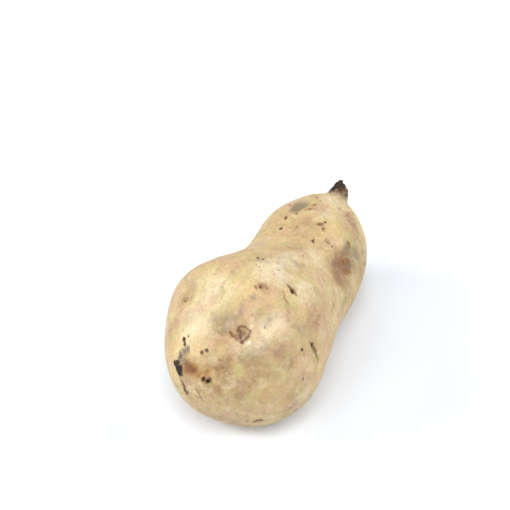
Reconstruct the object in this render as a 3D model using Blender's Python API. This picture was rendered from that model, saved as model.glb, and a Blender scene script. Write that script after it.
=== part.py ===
"""A whole sweet potato, lying on a small flat spot.

For Blender 4.5, in metres, +Z up. X runs along the root, from its root end to its stem end, and the
origin is under the middle of its bounding box, on the surface that it rests on. A sweet potato is one
swollen root, so the model is one solid.
"""

import math
from collections import namedtuple
from itertools import accumulate

import bmesh
import bpy
import numpy as np
from mathutils import Vector

MM = 0.001

# Sections of the flesh, square to its growth axis, in millimetres: how far each stands from the one before
# it along the root, how far it lies to the side, how far its underside is above the surface, and its half
# width and half height.
Section = namedtuple("Section", "step side under half_width half_height")
ROOT_END = Section(step=0, side=6.8, under=20, half_width=27.5, half_height=27.5)
ROOT_SHOULDER = Section(step=19.5, side=3, under=5, half_width=35.6, half_height=35.6)
BROAD_END = Section(step=19, side=0.3, under=0, half_width=39.4, half_height=39.2)
WAIST_SHOULDER = Section(step=19, side=0.4, under=1.5, half_width=34.8, half_height=35.6)
WAIST = Section(step=22, side=2.8, under=2.8, half_width=29.4, half_height=30.4)
LOBE = Section(step=24, side=6.6, under=0.2, half_width=29, half_height=30.4)
STEM_SHOULDER = Section(step=21, side=9.8, under=6, half_width=26.6, half_height=29)
STEM_END = Section(step=18.5, side=11, under=26.6, half_width=19.5, half_height=19.5)
SECTIONS = (ROOT_END, ROOT_SHOULDER, BROAD_END, WAIST_SHOULDER, WAIST, LOBE, STEM_SHOULDER, STEM_END)

# The length over which each end rounds off.
ROOT_ROUNDING = 48.0
STEM_ROUNDING = 36.0

# The corky stub where the stem was, and the tip where the thin root went on.
STUB_LENGTH = 8.5
STUB_RADIUS = 3.0
STUB_FLARE = 5.0
TIP_LENGTH = 2.0
TIP_RADIUS = 2.4
TIP_FLARE = 8.0
FLARE_FILLET = 4.0

# Swellings and hollows in the skin: distance along the growth axis, degrees round it from the top
# towards +Y, spread, and height, which is negative in a hollow.
Swelling = namedtuple("Swelling", "along around spread rise")
SWELLINGS = (
    Swelling(38, -132, 19, 2.4),  # low on the near side of the broad end
    Swelling(42, -86, 14, -3.4),  # flat beside the waist
    Swelling(27, 52, 18, 1.4),  # far shoulder of the broad end
    Swelling(9, 118, 17, -2.2),  # slope below the root tip, on the far side
    Swelling(11, -158, 15, -2.2),  # and under it
    Swelling(13, -48, 10, 1.2),  # ridge running back from the root tip
    Swelling(20, -27, 9, -1.5),  # hollow round the largest eye
)

FLAT_DEPTH = 0.7  # how much of the underside the resting place takes away

SIDES = 48
RINGS = 64
AXIS_STEPS = 400
AIM_STEPS = 50  # each section faces along the axis as it runs over this many steps before and after it
EASING_PASSES = 6
UNEASED_END = 6.0  # how much at each end, with the stub and the tip, is left as it is

SKIN_COLOUR = (0.66, 0.50, 0.31, 1.0)
SKIN_ROUGHNESS = 0.62


def bends(rows):
    """Second derivatives of the natural cubic spline through evenly spaced rows of values."""
    inner = len(rows) - 2
    matrix = 4 * np.eye(inner) + np.eye(inner, k=1) + np.eye(inner, k=-1)
    second = np.zeros_like(rows)
    second[1:-1] = np.linalg.solve(matrix, 6 * (rows[:-2] - 2 * rows[1:-1] + rows[2:]))
    return second


def growth_axis():
    """Places along the growth axis: distance from the root end, centre, half width and half height."""
    along = accumulate(s.step for s in SECTIONS)
    rows = np.array(
        [(x, s.side, s.under + s.half_height, s.half_width, s.half_height) for x, s in zip(along, SECTIONS)]
    )
    second = bends(rows)
    axis = []
    distance = 0.0
    for step in range(AXIS_STEPS + 1):
        at = (len(rows) - 1) * step / AXIS_STEPS
        i = min(int(at), len(rows) - 2)
        b = at - i
        a = 1 - b
        row = a * rows[i] + b * rows[i + 1] + ((a**3 - a) * second[i] + (b**3 - b) * second[i + 1]) / 6
        centre = Vector(row[:3])
        if axis:
            distance += (centre - axis[-1][1]).length
        axis.append((distance, centre, row[3], row[4]))
    return axis


def on_axis(axis, distance):
    """Centre, direction, half width and half height at a distance; past its ends the axis is straight."""
    inside = min(max(distance, 0.0), axis[-1][0])
    last = next((i for i, row in enumerate(axis) if row[0] >= inside and i > 0), len(axis) - 1)
    before, after = axis[last - 1], axis[last]
    share = (inside - before[0]) / (after[0] - before[0])
    centre, width, height = (a + share * (b - a) for a, b in zip(before[1:], after[1:]))
    near, far = max(last - AIM_STEPS, 0), min(last + AIM_STEPS, len(axis) - 1)
    direction = (axis[far][1] - axis[near][1]).normalized()
    return centre + direction * (distance - inside), direction, width, height


def round_end(distance, cap):
    """Share of the full radius at a distance from an end that rounds off over the cap's length."""
    if distance <= 0:
        return 0.0
    if distance >= cap:
        return 1.0
    return math.sqrt(1 - (1 - distance / cap) ** 3)


def stub_radius(distance, length, radius, flare):
    """Radius of a stub at a distance inwards from its tip: round at the tip, wider at its root."""
    if distance <= 0:
        return 0.0
    widening = 1 + 0.9 * min(distance / length, 1.5)
    return radius * round_end(distance, radius) * widening * math.exp(-max(distance - length, 0) / flare)


def blended(a, b, fillet):
    """The larger of a and b, with a fillet where they are close."""
    gap = max(fillet - abs(a - b), 0) / fillet
    return max(a, b) + gap * gap * fillet / 4


def skin_point(axis, distance, around):
    length = axis[-1][0]
    centre, direction, width, height = on_axis(axis, distance)
    cap = round_end(distance, ROOT_ROUNDING) * round_end(length - distance, STEM_ROUNDING)
    stub = stub_radius(length + STUB_LENGTH - distance, STUB_LENGTH, STUB_RADIUS, STUB_FLARE)
    tip = stub_radius(distance + TIP_LENGTH, TIP_LENGTH, TIP_RADIUS, TIP_FLARE)
    side = Vector((0, 0, 1)).cross(direction).normalized()
    up = direction.cross(side)
    flesh = Vector((width * cap * math.sin(around), height * cap * math.cos(around)))
    radius = 0.0
    if flesh.length + stub + tip > 0:
        radius = blended(flesh.length, max(stub, tip), FLARE_FILLET)
    for swelling in SWELLINGS:
        turn = math.remainder(around - math.radians(swelling.around), math.tau) * radius
        off = Vector((distance - swelling.along, turn)).length / swelling.spread
        radius += swelling.rise * math.exp(-off * off) * cap
    outwards = flesh.normalized() if cap > 0 else Vector((math.sin(around), math.cos(around)))
    return centre + radius * (side * outwards.x + up * outwards.y)


def body():
    """A ball drawn out along the growth axis, then eased where its bends crowd the sections together."""
    axis = growth_axis()
    length = axis[-1][0]
    whole = length + STUB_LENGTH + TIP_LENGTH
    flesh = []
    mesh = bmesh.new()
    bmesh.ops.create_uvsphere(mesh, u_segments=SIDES, v_segments=RINGS, radius=1.0)
    for vertex in mesh.verts:
        share = (1 - max(-1.0, min(1.0, vertex.co.z))) / 2
        around = math.atan2(vertex.co.y, vertex.co.x)
        distance = share * whole - TIP_LENGTH
        vertex.co = skin_point(axis, distance, around) * MM
        if UNEASED_END < distance < length - UNEASED_END:
            flesh.append(vertex)
    for _ in range(EASING_PASSES):
        bmesh.ops.smooth_vert(
            mesh, verts=flesh, factor=0.5, use_axis_x=True, use_axis_y=True, use_axis_z=True
        )
    return mesh


def rest_on_flat(mesh):
    """Flattens the underside where it rests, and puts the origin under the middle of the box."""
    table = min(v.co.z for v in mesh.verts) + FLAT_DEPTH * MM
    for vertex in mesh.verts:
        vertex.co.z = max(vertex.co.z, table)
    middle = Vector((0, 0, table))
    for i in (0, 1):
        places = [v.co[i] for v in mesh.verts]
        middle[i] = (min(places) + max(places)) / 2
    bmesh.ops.translate(mesh, verts=mesh.verts, vec=-middle)


def skin_material():
    material = bpy.data.materials.new("sweet_potato_skin")
    material.use_nodes = True
    shader = material.node_tree.nodes["Principled BSDF"]
    shader.inputs["Base Color"].default_value = SKIN_COLOUR
    shader.inputs["Roughness"].default_value = SKIN_ROUGHNESS
    shader.inputs["Metallic"].default_value = 0.0
    return material


def main():
    for old in list(bpy.data.objects):
        bpy.data.objects.remove(old)
    shape = body()
    rest_on_flat(shape)
    data = bpy.data.meshes.new("sweet_potato")
    shape.to_mesh(data)
    shape.free()
    data.shade_smooth()
    data.materials.append(skin_material())
    bpy.context.scene.collection.objects.link(bpy.data.objects.new("sweet_potato", data))


main()
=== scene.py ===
"""A raw sweet potato with pale cream skin, lying on a pale studio floor.

The root is one piece. Its own solid is remade in fine even faces, and then shaped with the lumps, eyes,
scars, cracks and broken stub that a real root has. Places and sizes in the tables are in millimetres, in
the part's frame: X along the root towards its stem, Z up.
"""

import math
import random
from collections import namedtuple

import bmesh
import bpy
import numpy as np
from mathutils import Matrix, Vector, noise


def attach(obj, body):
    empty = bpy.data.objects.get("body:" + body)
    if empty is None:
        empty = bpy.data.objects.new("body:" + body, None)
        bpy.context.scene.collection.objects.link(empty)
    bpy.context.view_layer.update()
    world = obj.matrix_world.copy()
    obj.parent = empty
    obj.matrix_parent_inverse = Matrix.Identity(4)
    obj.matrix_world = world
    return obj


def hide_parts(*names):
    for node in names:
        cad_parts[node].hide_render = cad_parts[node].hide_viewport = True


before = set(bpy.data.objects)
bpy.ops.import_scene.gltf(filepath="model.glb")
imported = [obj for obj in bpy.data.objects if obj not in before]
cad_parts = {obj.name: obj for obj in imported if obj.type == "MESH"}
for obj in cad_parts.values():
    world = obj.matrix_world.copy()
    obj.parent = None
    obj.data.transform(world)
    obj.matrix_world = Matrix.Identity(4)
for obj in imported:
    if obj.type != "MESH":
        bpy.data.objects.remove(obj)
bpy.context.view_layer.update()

MM = 0.001
ALONG = Vector((1, 0, 0))  # the way the root grew

# Ends of the stub and of the root tip.
STUB_BASE = Vector((67.6, 9.6, 44.0))
STUB_TOP = Vector((75.9, 10.1, 49.2))
ROOT_TIP = Vector((-75.5, 7.2, 47.2))

# The skin's faces. The solid's corners are merged where they are doubled, split and rounded off a few times,
# remade in even faces and smoothed. Faces are then halved near small shapes.
DOUBLED = 0.01
ROUNDINGS = 2
FACE = 0.8
SMOOTHINGS = 5
FINE_ENDS = ((STUB_TOP, 9), (STUB_BASE, 7), (ROOT_TIP, 7))  # places, and how far round each
FINER_ENDS = ((STUB_TOP, 7.5), (ROOT_TIP, 4.5))  # the same, halved once more
FINE_BY_STROKE = 2.2
FINE_PAST_MARK = 1.0
HALVED = 0.62  # an edge shorter than this share of a face was halved
MOST_CORNERS = 4  # halving leaves some faces with more corners, which are cut into triangles

# A swelling, hollow or mark on the skin. It sits where the skin is nearest to at. long runs along the root
# and wide round it, each as a radius, before turn swings them (degrees, to the left of someone who looks
# along the root from its tip). sink is how deep its middle lies and lip how far its edge stands up. tint
# names the colour that it takes, and strength how much of it.
Mark = namedtuple("Mark", "at long wide turn sink lip tint strength", defaults=(None, 0))

# A crack, slit or scar that runs through points, wide to each side of them at its middle. One with no tint is
# a smooth ridge or valley.
Stroke = namedtuple("Stroke", "points wide sink lip tint strength", defaults=(None, 0))

FORMS = (
    # the brow that runs from the root tip over the front of the broad end
    Mark((-67, 2, 57), 8, 9, 0, -0.9, 0),
    Mark((-61, -12, 60), 9, 10, 0, -1.1, 0),
    Mark((-53, -22, 61), 10, 11, 0, -1.6, 0),
    Mark((-46, -28, 60), 8, 10, 0, -1.1, 0),
    Stroke(
        ((-70, 5, 55), (-67, -4, 57), (-62, -14, 59), (-56, -21, 60), (-50, -27, 60), (-42, -31, 59)),
        7.5, -1.3, 0,
    ),
    # hollows under the brow and beside the root tip
    Stroke(((-75, 4, 47), (-73, 0, 49), (-71, -6, 50), (-67, -16, 51)), 7.0, 1.6, 0),
    Mark((-70, -8, 49), 9, 12, 0, 1.0, 0),
    Mark((-62, -25, 50), 10, 13, 0, 1.3, 0),
    Mark((-74, 13, 43), 6, 5, 0, 1.0, 0),
    # hollow that the largest eye lies in
    Mark((-55, -7, 65), 12, 11, 0, 1.8, 0),
    Mark((-48, -3, 71), 9, 9, 0, 0.7, 0),
    # the fold where the waist pinches in, and the rounded edge beside it
    Stroke(
        ((-30, -18, 71), (-34, -24, 68), (-35, -30, 62), (-34, -34, 54), (-32, -36, 46), (-30, -37, 36)),
        10, 1.6, 0,
    ),
    Stroke(((-35, -30, 62), (-34, -34, 54), (-32, -36, 47), (-30, -37, 38)), 4.5, 1.0, 0),
    Stroke(((-19, -21, 67), (-20, -28, 60), (-20, -32, 52), (-20, -34, 42)), 9, -0.9, 0),
    # swellings and hollows on the stem half
    Mark((5, -10, 62), 16, 9, 0, -0.7, 0),
    Mark((24, -19, 48), 11, 8, 0, 1.5, 0),
    Mark((40, 12, 58), 9, 7, 0, 0.7, 0),
    Mark((52, -6, 51), 9, 8, 0, 0.8, 0),
    Mark((33, 1, 60), 11, 9, 0, -0.5, 0),
    Mark((-4, -27, 51), 14, 8, 0, 0.8, 0),
    Mark((-46, 20, 63), 10, 8, 0, 0.8, 0),
    Mark((-60, 12, 59), 9, 9, 0, -0.6, 0),
)

EYES = (
    # the largest eye: a leaf-shaped scar with corky arms, and a raised spot on its rim below it, painted pale
    # as a highlight
    Mark((-55, -13, 64), 3.8, 2.8, 10, 0.6, 0.1, "stain_and_shade", 0.7),
    Mark((-56.5, -13, 63), 4.4, 3.8, 0, 0.5, 0, "scar", 0.6),
    Stroke(((-58, -7.5, 64), (-59, -11, 62.5), (-59.5, -14, 61.5)), 1.8, 0.5, 0.2, "scar", 0.62),
    Stroke(((-54.5, -10, 65.5), (-57, -12, 63), (-59, -14, 61.5)), 2.0, 0.6, 0.1, "scar", 0.68),
    Stroke(((-54.5, -10, 65.5), (-53.5, -12.5, 65.5), (-53.5, -15.5, 64.5)), 1.3, 0.3, 0.1, "scar", 0.55),
    Stroke(((-53.5, -15.5, 64.5), (-56, -15.5, 63), (-59, -14.5, 61.5)), 1.9, 0.5, 0.2, "scar", 0.66),
    Mark((-59, -14.5, 61.5), 1.4, 1.2, 0, 0.4, 0.0, "scar", 1.1),
    Mark((-57.5, -17, 61), 2.0, 1.5, 0, -0.4, 0.0, "pale_and_highlight", 1.0),
    # the ringed eye on the near shoulder
    Mark((-36.5, -10, 74), 1.7, 1.5, 20, 0.4, 0.15, "scar", 0.95),
    Stroke(((-37, -7.5, 74.5), (-38.5, -8.5, 74.5), (-39, -10, 74)), 1.3, 0.2, 0.1, "scar", 0.4),
    Stroke(((-34.5, -11, 74), (-35.5, -12.5, 73.5), (-36.5, -13, 73.5)), 1.3, 0.2, 0.1, "scar", 0.4),
    Mark((-36.5, -10, 74), 5.0, 4.2, 20, 0.25, 0.0, "bruise", 0.6),
    # the paired eye below the root tip
    Mark((-74, -4, 46.5), 1.4, 1.4, 0, 0.7, 0.25, "cork", 0.85),
    Mark((-73.5, -6.5, 46), 1.5, 1.4, 0, 0.8, 0.25, "cork", 0.9),
    Stroke(((-74, -2.5, 45.5), (-73.5, -4.5, 47.5), (-73, -7.5, 47)), 0.9, 0.1, 0.1, "scar", 0.6),
    Mark((-73.5, -5, 46), 2.8, 3.6, 0, 0.0, 0.0, "stain_and_shade", 0.8),
    # the reddish scar and the small eyes on the stem half
    Mark((31, -2, 58.5), 2.6, 1.6, -40, 0.35, 0.2, "scar", 0.9),
    Mark((29.5, -4, 57.5), 1.7, 1.2, -20, 0.2, 0.1, "scar", 0.8),
    Stroke(((25, 1.5, 59), (28, 0.5, 59), (30, -1.5, 58)), 0.9, 0.2, 0.05, "scar", 0.4),
    Stroke(((30, -3, 58), (30, -4.5, 57.5), (29, -6, 57)), 0.9, 0.2, 0.05, "scar", 0.6),
    Stroke(((30, -2, 58), (32, -2.5, 58.5), (33.5, -3, 58)), 0.8, 0.2, 0.05, "scar", 0.5),
    Mark((33.5, -3, 58), 0.7, 0.7, 0, 0.2, 0.05, "cork", 0.8),
    Mark((18, -5, 58.5), 1.3, 1.1, 0, 0.4, 0.15, "cork", 0.8),
    Stroke(((20.5, -4.5, 58.5), (18, -5, 58.5), (16.5, -6.5, 58)), 0.8, 0.2, 0.05, "cork", 0.5),
    Mark((28, 15.5, 57), 1.6, 1.3, 30, 0.4, 0.15, "cork", 0.6),
    Mark((19.5, 13, 57.5), 1.5, 1.3, 0, 0.5, 0.2, "cork", 0.9),
    Mark((32, 12, 58.5), 1.5, 1.5, 0, 0.3, 0.15, "scar", 0.7),
    Mark((42.5, 8, 58.5), 2.6, 1.7, -30, 0.15, 0.15, "scab", 0.8),
    Mark((37.5, 8, 59), 3.0, 1.7, -40, 0.15, 0.15, "scab", 0.9),
    Mark((48.5, 8, 56.5), 1.8, 1.2, 0, 0.25, 0.1, "ash", 1.2),
    Mark((25, -9, 55.5), 3.2, 2.2, 20, 0.15, 0.1, "scar", 0.4),
    Mark((24.5, -11.5, 54), 0.7, 0.7, 0, 0.25, 0.05, "cork", 0.8),
    Mark((23, 6, 59), 2.4, 1.8, 0, 0.15, 0.1, "scar", 0.3),
)

CRACKS = (
    # the slit at the waist and the faint one beside it
    Stroke(((-26.5, -17.5, 71), (-27.5, -20.5, 69.5), (-27.5, -23.5, 68)), 1.3, 0.8, 0.25, "scar", 0.85),
    Mark((-27.5, -21, 69.5), 1.0, 1.8, -15, 0.5, 0.0, "cork", 0.9),
    Mark((-27, -21, 69.5), 3.5, 3.5, 0, 0, 0, "bruise", 0.7),
    Stroke(((-31.5, -19.5, 71), (-34, -22, 69.5), (-33.5, -24.5, 68)), 1.7, 0.3, 0.1, "bruise", 0.9),
    # the cracks below the root tip
    Stroke(((-76, 7, 44), (-75.5, 5.5, 40.5), (-75, 4.5, 36), (-75, 4, 33.5)), 1.2, 0.9, 0.2, "scar", 1.0),
    Mark((-75, 4.5, 35.5), 1.2, 2.5, 70, 0.5, 0.0, "scar", 1.0),
    Mark((-75, 4, 34), 0.9, 1.3, 60, 0.4, 0.0, "cork", 0.7),
    Stroke(((-75.5, -1, 40.5), (-75.5, -3, 37.5), (-75, -4.5, 33.5)), 1.3, 0.4, 0.1, "scar", 0.35),
    Stroke(((-75.5, -0.5, 37), (-75, -3, 34)), 1.0, 0.2, 0.05, "bruise", 0.7),
    # the dark line in the fold at the waist
    Mark((-32, -36, 47.5), 1.1, 1.9, 0, 0.6, 0.1, "cork", 1.0),
    Stroke(
        ((-33.5, -35, 51), (-32, -36, 47.5), (-31, -36, 43), (-30.5, -36.5, 38.5)),
        1.2, 0.6, 0.1, "scar", 0.7,
    ),
    Mark((-31, -36, 41.5), 2.6, 5.0, 0, 0.0, 0.0, "stain_and_shade", 0.9),
)

SPECKS = (
    Mark((-65.5, 10, 56), 1.4, 1.2, 0, 0.4, 0.15, "cork", 0.9),
    Mark((-67, 9, 55.5), 1.3, 1.2, 0, 0.35, 0.15, "cork", 0.75),
    Mark((-64.5, 9, 57.5), 0.6, 0.5, 0, 0.2, 0.05, "cork", 0.8),
    Mark((-67.5, -2.5, 57), 1.2, 1.0, 20, 0.35, 0.1, "cork", 0.7),
    Mark((-68.5, -1, 56), 1.3, 1.0, 0, 0.3, 0.1, "scar", 0.8),
    Mark((-65.5, -12.5, 55.5), 2.4, 2.3, 0, 0.15, 0.0, "stain_and_shade", 0.9),
    Mark((-68, -8.5, 55), 1.5, 1.5, 0, 0.15, 0.0, "stain_and_shade", 1.0),
    Mark((-20, 1.5, 73), 1.2, 1.0, 0, 0.4, 0.1, "cork", 0.8),
    Mark((-20, -1, 73), 1.0, 0.9, 0, 0.35, 0.1, "cork", 0.8),
    Mark((-41.5, -34, 52.5), 1.0, 1.1, 0, 0.3, 0.1, "cork", 0.6),
    Mark((-49.5, -20, 65), 0.9, 0.9, 0, 0.25, 0.1, "scar", 0.7),
    Mark((-44.5, -36, 38.5), 1.0, 1.6, 0, 0.3, 0.1, "ash", 1.2),
    Mark((-45.5, -36.5, 33), 0.9, 1.4, 0, 0.3, 0.1, "scar", 0.4),
    Mark((-46.5, -34.5, 20), 1.1, 1.8, 10, 0.4, 0.15, "cork", 0.6),
    Mark((-51, -34.5, 25), 1.2, 1.0, 0, 0.3, 0.1, "scar", 0.7),
    Mark((-62, -24.5, 21), 2.4, 3.6, -20, 0.3, 0.3, "scar", 0.5),
    Stroke(((-63.5, -22, 21), (-62.5, -24.5, 20.5), (-60.5, -27, 21.5)), 0.8, 0.3, 0.1, "scar", 0.9),
    Mark((-65, -20.5, 21.5), 1.4, 2.1, -10, 0.2, 0.15, "scar", 0.4),
    Mark((-53, 28, 49.5), 1.4, 1.3, 0, 0.3, 0.1, "ash", 1.2),
    Mark((55.5, -4.5, 50), 1.2, 1.0, 0, 0.25, 0.1, "scar", 0.5),
    Mark((49.5, -8, 51), 1.6, 1.1, 30, 0.25, 0.1, "bruise", 1.0),
    Mark((51.5, -6, 52), 1.1, 1.0, 0, 0.25, 0.1, "scar", 0.4),
    Mark((46.5, -9.5, 50.5), 1.0, 0.9, 0, 0.25, 0.1, "bruise", 1.0),
    Stroke(((50, 0, 54.5), (51, -1, 54), (53, -1.5, 53.5)), 0.8, 0.2, 0.05, "scar", 0.6),
    Mark((52, 12, 55), 0.8, 0.8, 0, 0.25, 0.1, "cork", 0.6),
    Mark((66, 12, 49), 0.8, 0.9, 0, 0.25, 0.1, "cork", 1.0),
    Mark((43, -18.5, 41), 1.0, 1.3, 0, 0.3, 0.1, "scar", 0.6),
    Mark((42.5, -20.5, 33.5), 0.8, 0.9, 0, 0.3, 0.1, "cork", 0.7),
    Mark((14, -26, 36), 1.2, 0.8, 30, 0.3, 0.1, "cork", 0.6),
    Mark((-2.5, -28.5, 46.5), 1.0, 0.9, 0, 0.3, 0.1, "scar", 0.5),
    Mark((1.5, -9, 63), 1.5, 1.1, 0, 0.25, 0.1, "scar", 0.3),
    Mark((-8, -4, 68.5), 1.4, 1.0, 0, 0.2, 0.1, "bruise", 0.8),
    Mark((-22, -10.5, 73), 0.8, 0.8, 0, 0.2, 0.05, "scar", 0.5),
    Mark((-43, -10, 72.5), 3.4, 2.8, 0, 0.2, 0.0, "ash", 0.7),
)

SCABS = (
    # the crust on the root tip: black lumps, and a grey scab above them
    Mark((-72, 11.5, 46.5), 2.2, 2.0, 0, -0.4, 0, "cork", 1.2),
    Mark((-73.5, 10, 48.5), 2.2, 2.2, 0, -0.9, 0, "cork", 1.3),
    Mark((-75, 9, 47), 2.4, 2.2, 0, -0.5, 0, "cork", 1.4),
    Mark((-75.5, 7.5, 48.5), 1.9, 2.0, 0, -0.9, 0, "cork", 1.3),
    Mark((-76, 7, 46.5), 2.2, 2.2, 0, -0.5, 0, "cork", 1.4),
    Mark((-70, 7.5, 54), 3.4, 3.0, 0, -0.5, 0.2, "crust", 0.95),
    Mark((-71.5, 9, 51.5), 3.0, 2.6, 0, -0.5, 0.1, "crust", 1.3),
    Mark((-72.5, 6.5, 51), 2.4, 2.4, 0, -0.3, 0.1, "crust", 0.8),
    Mark((-68.5, 6.5, 55), 2.0, 1.6, 0, 0.1, 0.1, "crust", 1.1),
    Mark((-72, 10.5, 50), 0.9, 1.0, 0, -0.2, 0.0, "pale_and_highlight", 1.2),
    # the orange scabs on the large bruise
    Mark((35, -15, 49.5), 2.2, 1.9, 10, -0.2, 0.15, "scab", 1.0),
    Mark((28, -18.5, 45.5), 2.4, 1.9, -38, -0.3, 0.1, "scab", 1.2),
    Mark((25.5, -17.5, 47), 2.4, 1.7, -38, -0.2, 0.1, "scab", 1.1),
    Mark((24.5, -21.5, 43), 2.4, 1.8, -38, -0.3, 0.1, "scab", 1.2),
    Mark((21.5, -20.5, 44.5), 2.2, 1.5, -38, -0.2, 0.1, "scab", 1.0),
)

PATCHES = (
    # the large bruise on the stem half: purplish brown, and a bluish grey at its top and its far edge
    Mark((23, -18, 47.5), 14, 11, -8, 0, 0, "bruise", 1.2),
    Mark((17, -17.5, 50), 11, 9, 0, 0, 0, "bruise", 0.9),
    Mark((13, -21.5, 48.5), 11, 9, 0, 0, 0, "bruise", 1.2),
    Mark((7, -21, 51), 10, 7, 0, 0, 0, "bruise", 0.5),
    Mark((32, -15.5, 49.5), 8, 6, 0, 0, 0, "ash", 0.95),
    Mark((28, -20.5, 43.5), 9, 6, 0, 0, 0, "ash", 0.6),
    Mark((36, -18.5, 44.5), 8, 7, 0, 0, 0, "ash", 0.85),
    Mark((19.5, -15, 52), 7, 6, 0, 0, 0, "bruise", 0.55),
    # greyish skin round the largest eye, on the far shoulder and by the stub
    Mark((-53, -4, 66.5), 10, 8, 0, 0, 0, "ash", 0.65),
    Mark((-49, -6.5, 69.5), 7, 5.5, 0, 0, 0, "ash", 0.6),
    Mark((-56, 0, 65), 8, 7, 0, 0, 0, "ash", 0.45),
    Mark((-58, -5, 63), 10, 9, 0, 0, 0, "tan", 0.8),
    Mark((-48.5, 21, 61.5), 8, 7, 0, 0, 0, "bruise", 0.6),
    Mark((-47, 21, 62.5), 8, 7, 0, 0, 0, "ash", 0.45),
    Mark((-43, 21.5, 65.5), 8, 4, 20, 0, 0, "ash", 0.6),
    Mark((39.5, 14, 57.5), 8, 6, 10, 0, 0, "ash", 1.8),
    Mark((52, -7, 50), 9, 7, 10, 0, 0, "blush_and_shade", 1.1),
    Mark((48, -9, 50), 6, 5, 0, 0, 0, "bruise", 0.4),
    Mark((40, 4, 59), 7, 5, 0, 0, 0, "blush_and_shade", 0.9),
    # grey, purplish and pink patches down the fold at the waist and low on the near side of the broad end:
    # partly the skin's own colour, partly painted shade in the fold and on the sides turned from the light
    Mark((-37, -31, 59), 8, 11, 20, 0, 0, "ash", 0.5),
    Mark((-34, -31, 57), 7, 9, 20, 0, 0, "bruise", 0.25),
    Mark((-36, -25, 67), 7, 6, -20, 0, 0, "bruise", 0.3),
    Mark((-10.5, -28, 54), 10, 6, 0, 0, 0, "bruise", 0.3),
    Mark((-62, -24, 51), 9, 9, 0, 0, 0, "blush_and_shade", 0.4),
    Mark((-72, -9, 43), 6, 7, 0, 0, 0, "blush_and_shade", 0.9),
    Mark((-26, -32, 56), 8, 7, 0, 0, 0, "blush_and_shade", 0.8),
    Mark((-50, -33, 31), 9, 9, 0, 0, 0, "blush_and_shade", 0.6),
    # browner skin and painted shade under the brow, down the near side, in the fold, along the near edge of
    # the stem half and beside the root tip: partly the skin's own tan, partly shade painted on the sides that
    # turn from the light
    Mark((-68, -12, 50), 9, 12, 0, 0, 0, "tan", 1.3),
    Mark((-61, -22, 52), 12, 14, 0, 0, 0, "tan", 1.1),
    Mark((-51, -31, 51), 12, 12, 0, 0, 0, "tan", 1.0),
    Mark((-40, -34, 50), 9, 10, 0, 0, 0, "tan", 0.7),
    Mark((-66, -19, 40), 12, 16, 0, 0, 0, "tan", 0.8),
    Mark((-7, -30, 48), 14, 10, 0, 0, 0, "tan", 0.5),
    Mark((14, -26, 38), 16, 10, 0, 0, 0, "tan", 1.1),
    Mark((34, -20, 42), 16, 10, 0, 0, 0, "tan", 1.6),
    Mark((16, -24, 41), 9, 8, 0, 0, 0, "tan", 1.4),
    Mark((44, -12, 49), 14, 12, 0, 0, 0, "tan", 1.1),
    Mark((38, -20, 38), 18, 13, 0, 0, 0, "tan", 1.9),
    Mark((-33, -35, 46), 7, 12, 0, 0, 0, "tan", 1.0),
    Mark((-73, -4, 44), 9, 9, 0, 0, 0, "tan", 1.2),
    Mark((-73, -11, 41), 8, 8, 0, 0, 0, "tan", 1.0),
    Mark((-75.5, 3.5, 45), 6, 6, 0, 0, 0, "tan", 1.2),
    Mark((-46, -20, 67), 9, 8, 0, 0, 0, "ash", 0.45),
    Mark((-50.5, -12.5, 66), 5, 5, 0, 0, 0, "tan", 0.8),
    Mark((26, 3, 59), 14, 11, 0, 0, 0, "tan", 0.9),
    # the orange brown stain beside the root tip, partly painted shade on the side of the nub that turns from
    # the light
    Mark((-73.5, 4, 50), 4, 4.5, 0, 0, 0, "bruise", 1.2),
    Mark((-73, 2, 50), 5, 5, 0, 0, 0, "stain_and_shade", 1.2),
    Mark((-72.5, -0.5, 48.5), 5, 5.5, 0, 0, 0, "stain_and_shade", 1.1),
    Mark((-71, -4, 49), 5, 6, 0, 0, 0, "stain_and_shade", 0.9),
    Mark((-69.5, -8, 50), 5, 6, 0, 0, 0, "stain_and_shade", 0.6),
    # paler skin on the brow, the shoulders, the saddle and low on the near side: partly the skin's own clean
    # cream, partly painted light where they face the lamps and the bright floor, with painted highlights on
    # the saddle
    Mark((-55, -19, 63), 14, 10, 0, 0, 0, "cream_and_light", 1.6),
    Mark((-46, -24, 65), 10, 9, 0, 0, 0, "cream_and_light", 1.1),
    Mark((-60, 9, 62), 15, 14, 0, 0, 0, "cream_and_light", 1.2),
    Mark((-46, 8, 71), 16, 14, 0, 0, 0, "cream_and_light", 1.2),
    Mark((-24, -9, 73), 13, 12, 0, 0, 0, "cream_and_light", 1.8),
    Mark((-10, -8, 68.5), 18, 9, 0, 0, 0, "cream_and_light", 1.4),
    Mark((-22, -22, 66), 11, 10, 0, 0, 0, "cream_and_light", 1.2),
    Mark((6, -12, 61), 14, 10, 0, 0, 0, "cream_and_light", 0.8),
    Mark((56, 5, 54), 12, 9, 0, 0, 0, "cream_and_light", 1.1),
    Mark((38, 1, 59), 9, 7, 0, 0, 0, "cream_and_light", 0.8),
    Mark((-45, -36, 27), 10, 9, 0, 0, 0, "cream_and_light", 0.9),
    Mark((-25.5, -12.5, 73), 6, 4, 0, -0.1, 0, "pale_and_highlight", 0.6),
    Mark((-18, -9, 71.5), 8, 4.5, 0, -0.1, 0, "pale_and_highlight", 0.6),
)

TINTS = ("cream_and_light", "tan", "blush_and_shade", "pale_and_highlight", "stain_and_shade", "bruise", "ash", "crust", "scab", "scar", "cork")

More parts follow.
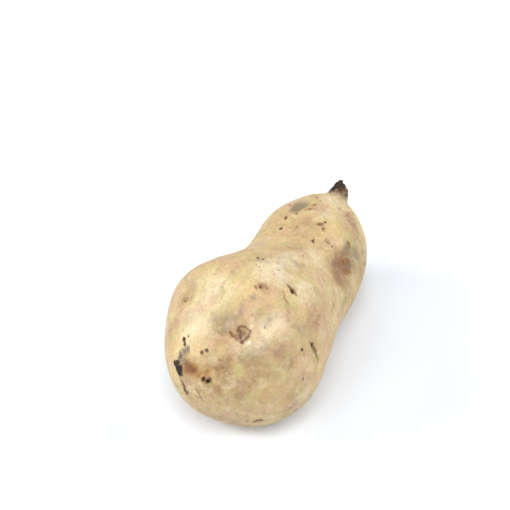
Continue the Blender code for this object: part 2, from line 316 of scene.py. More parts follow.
# How a mark lies on the skin.
FACING_REACH = math.sqrt(2)  # it faces the mean way that the skin faces this near to its middle
THROUGH = 2.5  # how many times its radius it reaches into the root and out of it
LIP_WIDTH = 0.45  # share of its radius that its lip takes
CORNER_CUTS = 2  # times a stroke's corners are cut off
TAPER = 0.75  # share of its width that a stroke loses towards its ends
RIDGE_BEADS = 30  # places along a ridge or valley whose soft round lumps add up to it
RIDGE_SPREAD = 0.55  # spread of such a lump, as a share of the ridge's width
RIDGE_ENDS = (0.12, 0.88)  # stretch of half a wave that gives the lumps' heights, low at the ends

# The outlines of marks wander by smooth noise of a size, up to a reach. Each seed takes the noise from
# another place. A mark of a larger radius than BROAD is a patch, whose outline wanders more.
Wander = namedtuple("Wander", "size reach seed")
WANDER_STEP = Vector((3.7, 8.3, 6.1))
FINE_WANDERS = (Wander(2.6, 0.55, 1), Wander(1.1, 0.3, 2))
BROAD_WANDER = Wander(8, 2.6, 3)
BROAD = 3.9
OUTLINE_SEED = 2  # starts that noise, so that every run is alike

# Smooth random lumps: how high they rise, the size of the largest, their octaves and their seed, as above.
Lumps = namedtuple("Lumps", "rise size octaves seed")
GRAIN_STEP = Vector((17.3, 5.1, 9.7))
UNEVENNESS = (Lumps(0.45, 22, 2, 2), Lumps(0.22, 8, 2, 3), Lumps(0.06, 2.2, 2, 4))
LET_IN = 0.15  # how much deeper the whole skin lies, so that its lumps stay inside the solid
CRUMBLE = Lumps(1.0, 1.3, 2, 1)
CRUST_RISE = 0.45  # how high the crumble stands on cork and crust
SCAB_RISE = 0.6  # a scab's share of that

# The stub. Shares of its length run from 0 at its base to 1 at its top.
STUB_REACH = 8  # no part of it is farther than this from its middle
BROKEN_REACH = 6
NEAR_MIDDLE = 0.01  # at its very middle there is no way outwards, so nothing is divided by less than this
STUB_FOOT = (-0.05, 0.25)  # shares between which its own surface sets in
BARK_FOOT = (-0.12, 0.23)  # and its grey brown bark
BLACK_FOOT = (0.12, 0.37)  # and its black
BREAK_START = 0.5  # share from which its top is broken down
PITH_START = 0.8  # share from which its pith shows,
PITH_RADIUS = 2.0  # up to this far from its middle,
PITH_EDGE = 1.5  # with an edge this wide
FIBRES = 2.6  # fibres to a radian round it, near enough
FIBRE_TWIST = 1.6
FIBRE_RISE = 0.6
STUB_CRUMBLE = 0.25
FAR_SIDE = np.array((-0.52, 0.85, 0))  # the side that rots first
BREAK = Lumps(1.5, 2.0, 2, 7)
BREAK_DROP = 0.6  # how much of the top is gone, on average,
BREAK_SLOPE = 0.5  # and how much less of it on the far side
BREAK_LIFT = 1.4  # how far the far side of the top curls up,
CURL_MIDDLE = 0.5  # the share of that at its middle,
CURL_SLOPE = 0.7  # and how much more of it on the far side
BARK = 0.65
BLACK = 0.5  # how black it is half way up,
BLACK_FAR = 0.4  # how much more so on the far side,
BLACK_UP = 0.6  # towards the top,
BLACK_CRUMBS = 0.5  # and on its crumbs
LEAST_BLACK = 0.22
PITH = 0.6  # how much of the black the pith takes away

# Marks on the sides that were chosen by rule: a seeded scatter over the far side, the ends and the underside.
SCATTER_SEED = 31
FAR_EYES = 7
FAR_SPECKS = 38
FAR_CRACKS = 5
FAR_PATCHES = 16
EYE_SIZES = (1.0, 2.2)  # radii along the root, from and to
SPECK_SIZES = (0.4, 1.2)
PATCH_SIZES = (4, 11)
CRACK_STEP = 3  # a crack's two steps are up to this long each way, bent by up to CRACK_BEND
CRACK_BEND = 1
FAR_ALONG = 66  # each way from the middle
FAR_ROUND = (40, 215)  # degrees from the top, over the far side
FAR_CENTRE = (2, 38)  # Y and Z of the middle that they lie round,
FAR_RADII = (30, 34)  # and how far from it
SPECK_TINTS = ("cork", "scar", "scar", "bruise")
PATCH_TINTS = ("bruise", "ash", "tan", "tan", "blush_and_shade", "stain_and_shade", "cream_and_light", "cream_and_light")


def linear(hex_colour):
    """An sRGB hex colour as linear red, green, blue and a full alpha."""
    parts = [int(hex_colour[i:i + 2], 16) / 255 for i in (1, 3, 5)]
    return (*((p / 12.92 if p <= 0.04045 else ((p + 0.055) / 1.055) ** 2.4) for p in parts), 1.0)


def smooth_step(value):
    value = np.clip(value, 0.0, 1.0)
    return value * value * (3 - 2 * value)


def risen(value, between):
    """How far a value has risen from the first number to the second: 0 to 1, with soft ends."""
    start, end = between
    return smooth_step((value - start) / (end - start))


# ---------------------------------------------------------------------------------------------------
# The root's shape


def even_body():
    """The root's solid, its doubled corners merged, rounded off and remade in even faces."""
    solid = bmesh.new()
    solid.from_mesh(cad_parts["sweet_potato"].data)
    bmesh.ops.remove_doubles(solid, verts=solid.verts, dist=DOUBLED * MM)
    rough = bpy.data.meshes.new("rough_root")
    solid.to_mesh(rough)
    solid.free()
    carrier = bpy.data.objects.new("rough_root", rough)
    bpy.context.scene.collection.objects.link(carrier)
    rounding = carrier.modifiers.new("rounding", "SUBSURF")
    rounding.levels = rounding.render_levels = ROUNDINGS
    remake = carrier.modifiers.new("remake", "REMESH")
    remake.mode = "VOXEL"
    remake.voxel_size = FACE * MM
    evaluated = carrier.evaluated_get(bpy.context.evaluated_depsgraph_get())
    even = bmesh.new()
    even.from_mesh(evaluated.to_mesh())
    evaluated.to_mesh_clear()
    bpy.data.objects.remove(carrier)
    bpy.data.meshes.remove(rough)
    ease(even, even.verts, SMOOTHINGS)
    return even


def ease(mesh, verts, passes):
    for _ in range(passes):
        bmesh.ops.smooth_vert(
            mesh, verts=verts, factor=0.5, use_axis_x=True, use_axis_y=True, use_axis_z=True
        )


def halve_near(mesh, spots):
    """Halves the faces within reach of each spot, in the order they are met, so that every run is alike."""
    centres = np.array([face.calc_center_median() for face in mesh.faces]) / MM
    chosen = np.zeros(len(centres), bool)
    for place, reach in spots:
        chosen |= ((centres - np.array(place)) ** 2).sum(1) < reach * reach
    mesh.faces.ensure_lookup_table()
    edges = dict.fromkeys(edge for i in np.flatnonzero(chosen) for edge in mesh.faces[i].edges)
    bmesh.ops.subdivide_edges(mesh, edges=list(edges), cuts=1, use_grid_fill=True)
    bmesh.ops.triangulate(mesh, faces=[face for face in mesh.faces if len(face.verts) > MOST_CORNERS])
    short = [edge for edge in mesh.edges if edge.calc_length() < HALVED * FACE * MM]
    ease(mesh, list(dict.fromkeys(vert for edge in short for vert in edge.verts)), 1)


def refine(mesh, marks):
    """Halves the faces at the marks, the stub and the root tip, and once more at the very ends."""
    spots = list(FINE_ENDS)
    for mark in marks:
        if isinstance(mark, Stroke):
            spots += [(point, FINE_BY_STROKE) for point in mark.points]
        else:
            spots.append((mark.at, max(mark.long, mark.wide) + FINE_PAST_MARK))
    halve_near(mesh, spots)
    halve_near(mesh, FINER_ENDS)


def arrays(mesh_data):
    """Places in millimetres and directions outwards of a mesh's points."""
    count = len(mesh_data.vertices)
    places = np.empty(count * 3)
    mesh_data.vertices.foreach_get("co", places)
    outwards = np.empty(count * 3)
    mesh_data.vertex_normals.foreach_get("vector", outwards)
    return places.reshape(-1, 3) / MM, outwards.reshape(-1, 3)


def grain(places, lumps):
    """Smooth random heights at the places."""
    shift = lumps.seed * GRAIN_STEP
    heights = [noise.fractal(Vector(p) / lumps.size + shift, 1.0, 2.0, lumps.octaves) for p in places]
    return lumps.rise * np.array(heights)


def wander(places, way):
    """The places, each moved up to about a reach by smooth noise, which makes marks' outlines ragged."""
    shift = way.seed * WANDER_STEP
    return places + way.reach * np.array([noise.noise_vector(Vector(p) / way.size + shift) for p in places])


def skin_near(places, point):
    """The place on the skin that is nearest to a point."""
    return places[((places - np.array(point)) ** 2).sum(1).argmin()]


def patch(places, outwards, wandered, mark):
    """How far inside an oval mark each point is: 1 at its middle, 0 at its edge and less outside."""
    centre = skin_near(places, mark.at)
    close = ((places - centre) ** 2).sum(1) < FACING_REACH ** 2
    facing = Vector(outwards[close].mean(0)).normalized()
    forward = (ALONG - facing * facing.dot(ALONG)).normalized()
    left = facing.cross(forward)
    turn = math.radians(mark.turn)
    longways = forward * math.cos(turn) + left * math.sin(turn)
    sideways = facing.cross(longways)
    off = wandered - centre
    reach = max(mark.long, mark.wide)
    return 1 - np.sqrt(
        (off @ np.array(longways) / mark.long) ** 2
        + (off @ np.array(sideways) / mark.wide) ** 2
        + (off @ np.array(facing) / (THROUGH * reach)) ** 2
    )


def rounded(points):
    """The points of a bent line with its corners cut off."""
    for _ in range(CORNER_CUTS):
        halves = [share * a + (1 - share) * b for a, b in zip(points, points[1:]) for share in (0.75, 0.25)]
        points = [points[0]] + halves[1:-1] + [points[-1]]
    return points


def line(places, wandered, stroke):
    """How far inside a stroke each point is, as for a mark. Its width falls away towards its ends."""
    points = rounded([skin_near(places, point) for point in stroke.points])
    spans = len(points) - 1
    nearest = np.full(len(places), np.inf)
    share = np.zeros(len(places))
    for i, (start, end) in enumerate(zip(points, points[1:])):
        run = end - start
        along = np.clip((wandered - start) @ run / (run @ run), 0, 1)
        off = np.linalg.norm(wandered - start - np.outer(along, run), axis=1)
        closer = off < nearest
        nearest[closer] = off[closer]
        share[closer] = (i + along[closer]) / spans
    width = stroke.wide * (1 - TAPER * np.abs(2 * share - 1) ** 2)
    return 1 - nearest / width


def ridge(places, stroke):
    """Height of a smooth ridge or valley through the stroke's points, 1 along its middle."""
    points = [skin_near(places, point) for point in stroke.points]
    corners = np.linspace(0, 1, len(points))
    shares = np.linspace(0, 1, RIDGE_BEADS)
    beads = np.array([np.interp(shares, corners, axis) for axis in np.array(points).T]).T
    height = np.zeros(len(places))
    for half_wave, bead in zip(np.linspace(*RIDGE_ENDS, RIDGE_BEADS), beads):
        lump = np.exp(-((places - bead) ** 2).sum(1) / (stroke.wide * RIDGE_SPREAD) ** 2)
        height += math.sin(math.pi * half_wave) * lump
    return height / height.max()


def marked(places, outwards, marks):
    """How far the marks push each point outwards, and how much each point has of each tint."""
    push = sum(grain(places, lumps) for lumps in UNEVENNESS) - LET_IN
    fine = places
    for way in FINE_WANDERS:
        fine = wander(fine, way)
    broad = wander(places, BROAD_WANDER)
    tints = {name: np.zeros(len(places)) for name in TINTS}
    for mark in marks:
        is_oval = isinstance(mark, Mark)
        if mark.tint is None and not is_oval:
            push -= mark.sink * ridge(places, mark)
            continue
        if mark.tint is None:
            inside = patch(places, outwards, places, mark)
        elif is_oval:
            wandered = broad if max(mark.long, mark.wide) > BROAD else fine
            inside = patch(places, outwards, wandered, mark)
        else:
            inside = line(places, fine, mark)
        push -= mark.sink * smooth_step(inside)
        push += mark.lip * np.exp(-((inside / LIP_WIDTH) ** 2))
        if mark.tint:
            share = mark.strength * np.clip(inside, 0, 1)
            tints[mark.tint] = np.maximum(tints[mark.tint], share)
    return push, tints


def along_stub(places):
    """How far each point is up the stub, from 0 to 1, how far it is from its middle, and which way."""
    run = np.array(STUB_TOP - STUB_BASE)
    length = np.linalg.norm(run)
    off = places - np.array(STUB_BASE)
    up = off @ run / length
    aside = off - np.outer(up, run / length)
    across = np.linalg.norm(aside, axis=1)
    return up / length, across, aside / (across[:, None] + NEAR_MIDDLE)


def weather_stub(places, push, tints):
    """The stub: fibres round a broken top, black on the far side, and grey brown bark on the near side."""
    up, across, spokes = along_stub(places)
    axis = (STUB_TOP - STUB_BASE).normalized()
    stubby = across < STUB_REACH
    crumble = grain(places, CRUMBLE)
    crusty = np.maximum(tints["cork"], np.maximum(tints["crust"], SCAB_RISE * tints["scab"]))
    push += CRUST_RISE * np.clip(crusty, 0, 1) * crumble
    fibres = np.array(
        [noise.noise(Vector(FIBRES * spoke) + axis * FIBRE_TWIST * u) for spoke, u in zip(spokes, up)]
    )
    push += risen(up, STUB_FOOT) * stubby * (FIBRE_RISE * fibres + STUB_CRUMBLE * crumble)

    far_side = spokes @ FAR_SIDE
    broken = risen(up, (BREAK_START, 1)) * (across < BROKEN_REACH)
    drop = broken * np.maximum(BREAK_DROP - BREAK_SLOPE * far_side + grain(places, BREAK), 0.0)
    places -= np.outer(drop, np.array(axis))
    places[:, 2] += BREAK_LIFT * broken * smooth_step(CURL_MIDDLE + CURL_SLOPE * far_side)

    black = BLACK + BLACK_FAR * far_side + BLACK_UP * (up - 0.5) + BLACK_CRUMBS * crumble
    pith = PITH * risen(up, (PITH_START, 1)) * smooth_step((PITH_RADIUS - across) / PITH_EDGE)
    black = np.clip(black, LEAST_BLACK, 1) * (1 - pith)
    tints["cork"] = np.maximum(tints["cork"], risen(up, BLACK_FOOT) * stubby * black)
    tints["crust"] = np.maximum(tints["crust"], BARK * risen(up, BARK_FOOT) * stubby)


def far_marks():
    """Eyes, specks, cracks and patches scattered over the far side, the ends and the underside."""
    chance = random.Random(SCATTER_SEED)
    marks = []

    def place():
        turn = math.radians(chance.uniform(*FAR_ROUND))
        x = chance.uniform(-FAR_ALONG, FAR_ALONG)
        return x, FAR_CENTRE[0] + FAR_RADII[0] * math.sin(turn), FAR_CENTRE[1] + FAR_RADII[1] * math.cos(turn)

    for _ in range(FAR_EYES):
        at = place()
        size = chance.uniform(*EYE_SIZES)
        marks.append(Mark(at, size, 0.75 * size, chance.uniform(-40, 40), 0.4 * size, 0.3, "scar", 0.8))
        marks.append(Mark(at, 0.5 * size, 0.4 * size, 0, 0.2, 0.1, "cork", chance.uniform(0.3, 0.8)))
        marks.append(Mark(at, 2.2 * size, 1.8 * size, 0, 0.2, 0, "bruise", chance.uniform(0.2, 0.7)))
    for _ in range(FAR_SPECKS):
        size = chance.uniform(*SPECK_SIZES)
        tint = chance.choice(SPECK_TINTS)
        at = place()
        wide = size * chance.uniform(0.7, 1.8)
        turn = chance.uniform(-60, 60)
        marks.append(Mark(at, size, wide, turn, 0.3 * size, 0.1, tint, chance.uniform(0.4, 0.9)))
    for _ in range(FAR_CRACKS):
        start = Vector(place())
        step = Vector([chance.uniform(-CRACK_STEP, CRACK_STEP) for _ in range(3)])
        bend = Vector([chance.uniform(-CRACK_BEND, CRACK_BEND) for _ in range(3)])
        marks.append(Stroke((start, start + step + bend, start + 2 * step), 1.0, 0.4, 0.15, "scar", 0.6))
    for _ in range(FAR_PATCHES):
        size = chance.uniform(*PATCH_SIZES)
        tint = chance.choice(PATCH_TINTS)
        at = place()
        wide = size * chance.uniform(0.6, 1.0)
        turn = chance.uniform(-40, 40)
        marks.append(Mark(at, size, wide, turn, 0.2, 0.0, tint, chance.uniform(0.4, 1.0)))
    return tuple(marks)


def root_skin():
    """The whole root: even faces, finer at its marks, pushed into its eyes, cracks, lumps and stub."""
    noise.seed_set(OUTLINE_SEED)
    small = EYES + CRACKS + SPECKS + SCABS
    mesh = even_body()
    refine(mesh, small)
    data = bpy.data.meshes.new("sweet_potato_root")
    mesh.to_mesh(data)
    mesh.free()

    places, outwards = arrays(data)
    push, tints = marked(places, outwards, FORMS + small + PATCHES + far_marks())
    weather_stub(places, push, tints)
    places += outwards * push[:, None]
    places[:, 2] = np.maximum(places[:, 2], 0.0)  # nothing lies under the surface that it rests on
    data.vertices.foreach_set("co", (places * MM).ravel())
    for name, values in tints.items():
        data.attributes.new(name, "FLOAT", "POINT").data.foreach_set("value", values)
    data.shade_smooth()
    data.update()
    root = bpy.data.objects.new("sweet_potato_root", data)
    bpy.context.scene.collection.objects.link(root)
    return root


# ---------------------------------------------------------------------------------------------------
# The skin's material


GROUND = "#D8BC88"  # clean cream skin

# A layer of the skin's colour. Noise with lumps of size millimetres, drawn out by stretch, lays the hue over
# what is below: not at all where the noise is under low, and by most where it is over high.
PLAIN = (0.6, 0.25, (1, 1, 1))  # coarse, bend and stretch, where a row leaves them out
Mottle = namedtuple("Mottle", "way hue size low high most coarse bend stretch", defaults=PLAIN)

# The look of a kind of mark: its edge hue, its heart hue, and how much of it is laid over what is below.
# Noise with lumps of size millimetres frays it. It starts to show where the mark's share is rim and is whole
# at full, and the heart does the same from heart_rim to heart_full.
Look = namedtuple("Look", "tint way edge heart most size fray rim full heart_rim heart_full")

SKIN = (
    # cream skin, drifting to tan, to a pinkish tan and to a straw yellow over a few centimetres
    Mottle("MIX", "#C19E6E", 30, 0.42, 0.66, 0.80),
    Mottle("MIX", "#C49E80", 20, 0.50, 0.72, 0.75),
    Mottle("MIX", "#D5BA78", 15, 0.52, 0.72, 0.55),
    # paler skin, partly painted light on the tops that face the light; browner skin, partly painted shade on
    # the sides turned from it; and pink where the flesh is near, partly painted shade low on the near side
    Look("cream_and_light", "MIX", "#E8D7AE", "#EEDFBA", 0.80, 4.0, 0.5, 0.0, 0.9, 0.6, 1.3),
    Look("tan", "MULTIPLY", "#DFDAD4", "#D2CCC6", 1.0, 4.0, 0.5, 0.0, 0.9, 0.6, 1.3),
    Look("blush_and_shade", "MULTIPLY", "#E6D6DC", "#DCC6CE", 0.95, 3.0, 0.7, 0.0, 0.8, 0.4, 1.0),
    # cloudy mottling, coarse and fine: purplish where the flesh shows through, straw, pink, pale and brown
    Mottle("MULTIPLY", "#CFCAD2", 13, 0.48, 0.72, 0.65),
    Mottle("MIX", "#C8BE80", 9, 0.48, 0.68, 0.65),
    Mottle("MIX", "#D0A78E", 8, 0.50, 0.68, 0.60),
    Mottle("MULTIPLY", "#C6C0C8", 5, 0.50, 0.76, 0.55),
    Mottle("MIX", "#C9BB80", 4.5, 0.52, 0.72, 0.35),
    Mottle("MIX", "#EADAB4", 5, 0.50, 0.76, 0.50),
    Mottle("MIX", "#C89F86", 3.5, 0.52, 0.76, 0.30),
    Mottle("MIX", "#93744F", 1.8, 0.50, 0.74, 0.24),
    # the skin's own grain, hair-fine creases round the root, and soft streaks along it
    Mottle("MIX", "#866849", 0.8, 0.50, 0.70, 0.28, 0.7, 0.0),
    Mottle("MIX", "#FCEDC8", 0.9, 0.52, 0.72, 0.26, 0.7, 0.0),
    Mottle("MIX", "#977049", 1.5, 0.56, 0.76, 0.26, 0.65, 0.5, (2.2, 0.35, 0.35)),
    Mottle("MIX", "#A88961", 6, 0.54, 0.74, 0.28, 0.6, 0.4, (0.25, 1.2, 1.2)),
    # marks: a scar is tan at its edge and reddish brown inside, and cork brown at its edge and black inside
    # pale: whitish skin, partly painted highlights on the saddle and on the rim of the largest eye
    Look("pale_and_highlight", "MIX", "#E9DDC6", "#F2E9D8", 0.80, 2.0, 0.6, 0.1, 0.8, 0.6, 1.0),
    # stain: orange brown skin, partly painted shade beside the root tip's nub
    Look("stain_and_shade", "MULTIPLY", "#E0CEB6", "#C9AA8E", 1.0, 2.2, 0.7, 0.0, 0.9, 0.5, 1.2),
    Look("bruise", "MULTIPLY", "#D6C6BF", "#B39C98", 1.0, 3.2, 0.8, 0.0, 0.8, 0.4, 1.2),
    Look("ash", "MULTIPLY", "#D2D6E4", "#AEB2C2", 0.95, 3.2, 0.8, 0.0, 0.8, 0.4, 1.2),
    Look("crust", "MIX", "#B3A083", "#6D5F52", 0.85, 1.3, 1.3, 0.1, 0.6, 0.55, 1.1),
    Look("scab", "MIX", "#B98752", "#94633C", 0.85, 1.3, 1.3, 0.1, 0.6, 0.5, 1.2),
    Look("scar", "MIX", "#AB7F60", "#78493A", 0.90, 1.3, 1.0, 0.0, 0.6, 0.3, 0.95),
    Look("cork", "MIX", "#7A5A40", "#1E1815", 0.94, 1.1, 1.0, 0.0, 0.40, 0.15, 0.75),
)
DULL_MARKS = ("crust", "scab", "scar", "cork")
DULL = 0.9  # their roughness

NOISE_OCTAVES = 4.0
WAX_OCTAVES = 3.0
AREA_OCTAVES = 2.0
LAYER_SHIFT = Vector((17, 7, -11))  # how far apart the noises of two layers are taken, so that they differ
RELIEF_SHIFT = Vector((6, 6, 2))
MARK_COARSE = 0.6
FRAY_START = 0.12  # a mark's edge is frayed only from this share on, so that noise alone shows no mark

# Relief too fine for the faces: noise with lumps of size millimetres, drawn out by stretch, that stands up or
# sinks in by its depth in millimetres.
Relief = namedtuple("Relief", "size coarse stretch strength depth inwards")
RELIEFS = (
    Relief(0.9, 0.7, (1, 1, 1), 0.6, 0.5, False),  # pores
    Relief(3.2, 0.6, (1, 1, 1), 0.6, 1.2, False),  # lumps
    Relief(1.5, 0.65, (2.2, 0.35, 0.35), 0.5, 0.6, True),  # creases round the root
)

# The crumbs of crust, scabs, scars and cork, which stand up in the same way.
CRUMB = 0.9
CRUMB_COARSE = 0.7
CRUMB_STRENGTH = 0.9
CRUMB_RISE = 1.2

# Lenticels, the skin's breathing pores: brown dots about a millimetre across, drawn coarser than real ones so
# that they show. They keep to some areas, and there only a few of them show.
LENTICEL_SPACING = 2.4
LENTICEL_HEART = 0.312  # radius within which a dot is at its brownest
LENTICEL_RIM = 0.576
LENTICEL_BROWN = "#745337"
LENTICEL_MOST = 0.6
PIT_DEPTH = 0.4
PIT_STRENGTH = 0.5
LENTICEL_AREA = 9
LENTICEL_WHERE = (0.48, 0.62)  # heights of the areas' noise between which they set in
LENTICEL_CHANCE = (0.45, 0.70)  # and of each dot's own chance

# Smooth skin is a little waxy: its roughness, and the size of its duller and waxier clouds.
WAX_CLOUD = 5
WAX_SWING = (0.3, 0.7)
WAXY, MATT = 0.50, 0.64
SKIN_SPECULAR = 0.42
SKIN_IOR = 1.45


def add(tree, kind, settings=None, **links):
    """Adds a node, sets its properties and unlinked inputs, and links the others to its inputs."""
    node = tree.nodes.new(kind)
    for name, value in (settings or {}).items():
        if isinstance(name, int) or name in node.inputs:
            node.inputs[name].default_value = value
        else:
            setattr(node, name, value)
    for name, source in links.items():
        key = int(name[1:]) if name[0] == "i" and name[1:].isdigit() else name.replace("_", " ")
        tree.links.new(source, node.inputs[key])
    return node


def layered_colour(tree, millimetres):
    """The skin's colour, laid down row by row, and how much of each kind of mark shows."""
    below = {}
    shown = {}
    for row, layer in enumerate(SKIN):
        mottled = isinstance(layer, Mottle)
        place = {"Scale": layer.stretch if mottled else (1, 1, 1), "Location": row * LAYER_SHIFT}
        moved = add(tree, "ShaderNodeMapping", place, Vector=millimetres).outputs[0]
        cloud = {
            "Scale": 1 / layer.size,
            "Detail": NOISE_OCTAVES,
            "Roughness": layer.coarse if mottled else MARK_COARSE,
            "Distortion": layer.bend if mottled else 0.0,
        }
        lumps = add(tree, "ShaderNodeTexNoise", cloud, Vector=moved).outputs["Fac"]
        ramp = {"interpolation_type": "SMOOTHSTEP", "To Max": layer.most}
        blend = {"data_type": "RGBA", "blend_type": layer.way, "clamp_factor": True, 6: linear(GROUND)}
        above = {}
        if mottled:
            ramp.update({"From Min": layer.low, "From Max": layer.high})
            share = add(tree, "ShaderNodeMapRange", ramp, Value=lumps).outputs["Result"]
            blend[7] = linear(layer.hue)
        else:
            mark = add(tree, "ShaderNodeAttribute", {"attribute_name": layer.tint}).outputs["Fac"]
            there = add(tree, "ShaderNodeMapRange", {"From Max": FRAY_START}, Value=mark).outputs["Result"]
            swing = {"operation": "MULTIPLY_ADD", 1: layer.fray, 2: -0.5 * layer.fray}
            frays = add(tree, "ShaderNodeMath", swing, i0=lumps).outputs[0]
            frayed = {"operation": "MULTIPLY_ADD"}
            edge = add(tree, "ShaderNodeMath", frayed, i0=frays, i1=there, i2=mark).outputs[0]
            ramp.update({"From Min": layer.rim, "From Max": layer.full})
            share = add(tree, "ShaderNodeMapRange", ramp, Value=edge).outputs["Result"]
            inner = {
                "interpolation_type": "SMOOTHSTEP",
                "From Min": layer.heart_rim,
                "From Max": layer.heart_full,
            }
            heart = add(tree, "ShaderNodeMapRange", inner, Value=edge).outputs["Result"]
            hues = {"data_type": "RGBA", 6: linear(layer.edge), 7: linear(layer.heart)}
            above["i7"] = add(tree, "ShaderNodeMix", hues, i0=heart).outputs[2]
            shown[layer.tint] = share
        below["i6"] = add(tree, "ShaderNodeMix", blend, i0=share, **below, **above).outputs[2]
    return below["i6"], shown


def lenticel_dots(tree, millimetres):
    """How much of a lenticel shows: dots on a loose grid, in some areas, and there only a few of them."""
    cells = {"feature": "F1", "Scale": 1 / LENTICEL_SPACING, "Randomness": 1.0}
    dots = add(tree, "ShaderNodeTexVoronoi", cells, Vector=millimetres)
    round_dot = {
        "From Min": LENTICEL_HEART / LENTICEL_SPACING,
        "From Max": LENTICEL_RIM / LENTICEL_SPACING,
        "To Min": LENTICEL_MOST,
        "To Max": 0.0,
    }
    dot = add(tree, "ShaderNodeMapRange", round_dot, Value=dots.outputs["Distance"]).outputs["Result"]
    area = {"Scale": 1 / LENTICEL_AREA, "Detail": AREA_OCTAVES}
    areas = add(tree, "ShaderNodeTexNoise", area, Vector=millimetres).outputs["Fac"]
    chance = add(tree, "ShaderNodeSeparateColor", Color=dots.outputs["Color"]).outputs["Red"]
    for source, (none, all_of_it) in ((areas, LENTICEL_WHERE), (chance, LENTICEL_CHANCE)):
        sets_in = {"From Min": none, "From Max": all_of_it}
        share = add(tree, "ShaderNodeMapRange", sets_in, Value=source).outputs["Result"]
        dot = add(tree, "ShaderNodeMath", {"operation": "MULTIPLY"}, i0=dot, i1=share).outputs[0]
    return dot


def skin_material():
    """Raw sweet potato periderm: a thin dry cork skin, dull with a faint waxy sheen where it is smooth."""
    material = bpy.data.materials.new("raw_sweet_potato_periderm")
    material.use_nodes = True
    tree = material.node_tree
    shader = tree.nodes["Principled BSDF"]
    shader.inputs["Specular IOR Level"].default_value = SKIN_SPECULAR
    shader.inputs["IOR"].default_value = SKIN_IOR
    shader.inputs["Metallic"].default_value = 0.0
    position = add(tree, "ShaderNodeTexCoord").outputs["Object"]
    to_millimetres = {"Scale": (1 / MM, 1 / MM, 1 / MM)}
    millimetres = add(tree, "ShaderNodeMapping", to_millimetres, Vector=position).outputs[0]

    layers, shown = layered_colour(tree, millimetres)
    lenticels = lenticel_dots(tree, millimetres)
    dotted = {"data_type": "RGBA", 7: linear(LENTICEL_BROWN)}
    colour = add(tree, "ShaderNodeMix", dotted, i0=lenticels, i6=layers).outputs[2]
    tree.links.new(colour, shader.inputs["Base Color"])

    # smooth skin is a little waxy; crust, scabs, scars and cork are dull
    dull = shown[DULL_MARKS[0]]
    for name in DULL_MARKS[1:]:
        dull = add(tree, "ShaderNodeMath", {"operation": "MAXIMUM"}, i0=dull, i1=shown[name]).outputs[0]
    clouds = {"Scale": 1 / WAX_CLOUD, "Detail": WAX_OCTAVES}
    wax = add(tree, "ShaderNodeTexNoise", clouds, Vector=millimetres).outputs["Fac"]
    satin = {"From Min": WAX_SWING[0], "From Max": WAX_SWING[1], "To Min": WAXY, "To Max": MATT}
    sheen = add(tree, "ShaderNodeMapRange", satin, Value=wax).outputs["Result"]
    rough = add(tree, "ShaderNodeMix", {"data_type": "FLOAT", 3: DULL}, i0=dull, i2=sheen).outputs[0]
    tree.links.new(rough, shader.inputs["Roughness"])

    facing = {}
    for row, relief in enumerate(RELIEFS):
        place = {"Scale": relief.stretch, "Location": row * RELIEF_SHIFT}
        moved = add(tree, "ShaderNodeMapping", place, Vector=millimetres).outputs[0]
        cloud = {"Scale": 1 / relief.size, "Detail": NOISE_OCTAVES, "Roughness": relief.coarse}
        height = add(tree, "ShaderNodeTexNoise", cloud, Vector=moved).outputs["Fac"]
        bump = {"Strength": relief.strength, "Distance": relief.depth * MM, "invert": relief.inwards}
        facing["Normal"] = add(tree, "ShaderNodeBump", bump, Height=height, **facing).outputs["Normal"]
    pit = {"Strength": PIT_STRENGTH, "Distance": PIT_DEPTH * MM, "invert": True}
    facing["Normal"] = add(tree, "ShaderNodeBump", pit, Height=lenticels, **facing).outputs["Normal"]
    cloud = {"Scale": 1 / CRUMB, "Detail": NOISE_OCTAVES, "Roughness": CRUMB_COARSE}
    crumbs = add(tree, "ShaderNodeTexNoise", cloud, Vector=millimetres).outputs["Fac"]
    crumbly = add(tree, "ShaderNodeMath", {"operation": "MULTIPLY"}, i0=dull, i1=crumbs).outputs[0]
    crust = {"Strength": CRUMB_STRENGTH, "Distance": CRUMB_RISE * MM}
    facing["Normal"] = add(tree, "ShaderNodeBump", crust, Height=crumbly, **facing).outputs["Normal"]
    tree.links.new(facing["Normal"], shader.inputs["Normal"])
    return material


# ---------------------------------------------------------------------------------------------------
# The studio


FLOOR_HALF = 20.0  # metres, so that the sheet fills every view
PAPER = "#E7ECF3"
PAPER_ROUGHNESS = 0.9
PAPER_SPECULAR = 0.1
PAPER_GLOW = "#E4EAF4"  # a little light of its own keeps the shadows open
PAPER_GLOW_STRENGTH = 0.03

# The camera: which way it stands from the root, in degrees, how far from the place it looks at, in
# millimetres, and that place.
CAMERA_AZIMUTH = -58.5
CAMERA_HEIGHT = 40.0
CAMERA_DISTANCE = 659.5
AIM = Vector((2.9, 17.0, 51.5))
CAMERA_LENS = 100
CAMERA_FILM = 36
CAMERA_NEAREST = 0.01

# Soft lights, each a broad patch of the sky: where it stands, in degrees, and its strength.
LIGHT_BREADTH = 28
Light = namedtuple("Light", "name azimuth height strength")
LIGHTS = (
    Light("overhead_light", -58, 60, 1.75),
    Light("left_light", -148, 30, 1.87),
    Light("near_left_light", -100, 45, 0.80),
    Light("near_right_light", 31, 25, 1.25),
    Light("far_right_light", 76, 30, 0.90),
    Light("far_light", 150, 60, 0.30),
)
SKY_LIGHT = 0.06


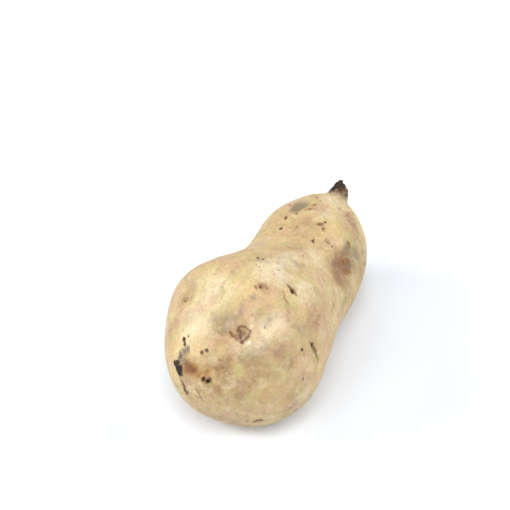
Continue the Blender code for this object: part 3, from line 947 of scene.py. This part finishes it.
def floor():
    """A wide matt white paper sheet, lying on the surface that the root rests on."""
    mesh = bmesh.new()
    bmesh.ops.create_grid(mesh, x_segments=1, y_segments=1, size=FLOOR_HALF)
    data = bpy.data.meshes.new("studio_floor")
    mesh.to_mesh(data)
    mesh.free()
    sheet = bpy.data.objects.new("studio_floor", data)
    bpy.context.scene.collection.objects.link(sheet)
    material = bpy.data.materials.new("matt_white_paper")
    material.use_nodes = True
    shader = material.node_tree.nodes["Principled BSDF"]
    shader.inputs["Base Color"].default_value = linear(PAPER)
    shader.inputs["Roughness"].default_value = PAPER_ROUGHNESS
    shader.inputs["Specular IOR Level"].default_value = PAPER_SPECULAR
    shader.inputs["Emission Color"].default_value = linear(PAPER_GLOW)
    shader.inputs["Emission Strength"].default_value = PAPER_GLOW_STRENGTH
    data.materials.append(material)


def away(azimuth, height):
    """The direction from the root to something that stands at an azimuth and a height, in degrees."""
    turn = math.radians(azimuth)
    lift = math.radians(height)
    return Vector((math.sin(turn) * math.cos(lift), -math.cos(turn) * math.cos(lift), math.sin(lift)))


def camera():
    data = bpy.data.cameras.new("camera")
    data.lens = CAMERA_LENS
    data.sensor_width = CAMERA_FILM
    data.clip_start = CAMERA_NEAREST
    data.clip_end = FLOOR_HALF
    view = bpy.data.objects.new("camera", data)
    back = away(CAMERA_AZIMUTH, CAMERA_HEIGHT)
    view.location = (AIM + back * CAMERA_DISTANCE) * MM
    view.rotation_mode = "QUATERNION"
    view.rotation_quaternion = (-back).to_track_quat("-Z", "Y")
    bpy.context.scene.collection.objects.link(view)
    bpy.context.scene.camera = view


def soft_light(light):
    """A broad soft light, as if it stood far away, so that it lights the whole floor evenly."""
    data = bpy.data.lights.new(light.name, "SUN")
    data.angle = math.radians(LIGHT_BREADTH)
    data.energy = light.strength
    lamp = bpy.data.objects.new(light.name, data)
    direction = away(light.azimuth, light.height)
    lamp.location = direction
    lamp.rotation_mode = "QUATERNION"
    lamp.rotation_quaternion = (-direction).to_track_quat("-Z", "Y")
    bpy.context.scene.collection.objects.link(lamp)


def studio():
    floor()
    for light in LIGHTS:
        soft_light(light)
    world = bpy.data.worlds.new("white_studio")
    world.use_nodes = True
    sky = world.node_tree.nodes["Background"]
    sky.inputs["Color"].default_value = (1, 1, 1, 1)
    sky.inputs["Strength"].default_value = SKY_LIGHT
    bpy.context.scene.world = world
    bpy.context.scene.view_settings.view_transform = "Standard"
    camera()


root = root_skin()
root.data.materials.append(skin_material())
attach(root, "root")
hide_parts("sweet_potato")
studio()
